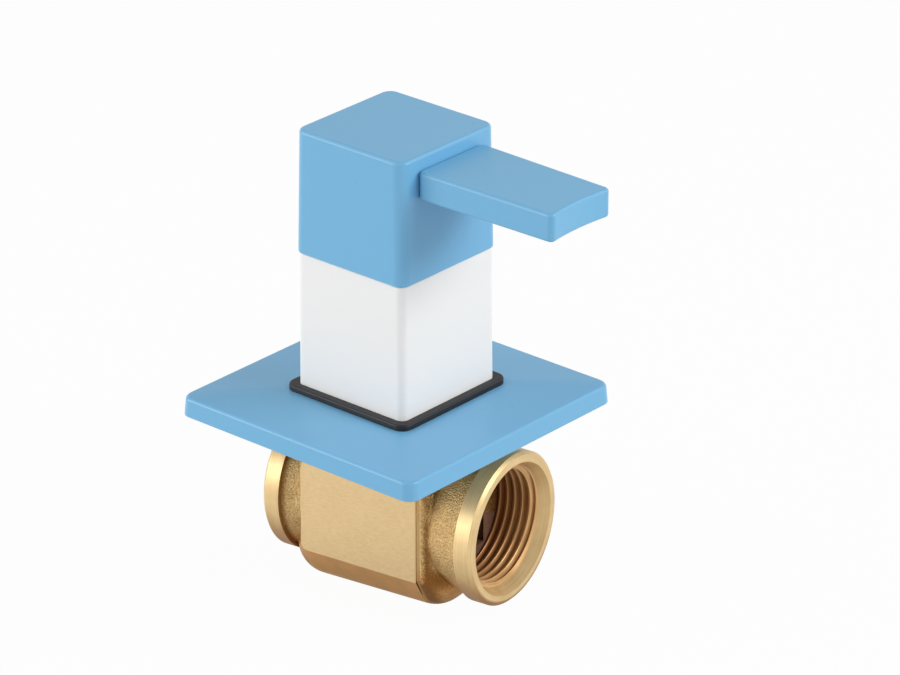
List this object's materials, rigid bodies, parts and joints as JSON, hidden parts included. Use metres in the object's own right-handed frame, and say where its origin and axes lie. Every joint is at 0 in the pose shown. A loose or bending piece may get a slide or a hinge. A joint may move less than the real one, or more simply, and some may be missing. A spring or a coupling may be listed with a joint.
{
  "type": "flush valve",
  "caption": "Concealed quarter-turn flush valve: brass in-line body with two female pipe ends, square sleeve, sliding wall plate and square lever handle.",
  "frame": {"origin": "where the valve stem's axis crosses the finished wall plane, the plane of the wall plate's back rim", "axes": "+Z along the stem, out of the wall towards the user; +X along the lever in its open position; X and Y along the edges of the square wall plate; the pipe runs through the body 25.4 mm behind the wall, 7.6 degrees anticlockwise of X seen from +Z, inlet towards -X and outlet towards +X"},
  "size_m": [0.1018, 0.0802, 0.1288],
  "materials": {
    "cast_brass": "sand-cast with brushed flats and turned collars",
    "machined_brass": "turned",
    "blue_plastic": "satin sky blue",
    "white_plastic": "satin white",
    "white_acetal": "smooth",
    "grey_nylon": "moulded",
    "black_rubber": "matte",
    "ceramic": "lapped",
    "screw_steel": "plated"
  },
  "bodies": {
    "valve": {"valve_body": "cast_brass", "seat_seal": "black_rubber", "headwork_body": "machined_brass", "headwork_seal": "black_rubber", "fixed_disc": "ceramic", "sleeve_carrier": "grey_nylon", "sleeve": "white_plastic", "sleeve_screws": "screw_steel", "guide_bush": "white_acetal"},
    "handle": {"spindle": "machined_brass", "moving_disc": "ceramic", "spindle_o_rings": "black_rubber", "slip_washer": "white_acetal", "stop_ring": "screw_steel", "retaining_clip": "screw_steel", "stem_extension": "machined_brass", "extension_screw": "screw_steel", "handle_insert": "machined_brass", "grub_screw": "screw_steel", "handle_block": "blue_plastic", "screw_plug": "blue_plastic", "lever": "blue_plastic", "lever_screws": "screw_steel", "lever_washers": "screw_steel"},
    "plate": {"wall_plate": "blue_plastic", "gasket": "black_rubber"}
  },
  "joints": [
    {"name": "handle_turn", "type": "hinge", "parent": "valve", "child": "handle", "pos_m": [0, 0, 0], "axis": [0, 0, 1], "range_deg": [-90, 0]},
    {"name": "plate_slide", "type": "slide", "parent": "valve", "child": "plate", "axis": [0, 0, 1], "range_m": [-0.0045, 0.037]}
  ]
}
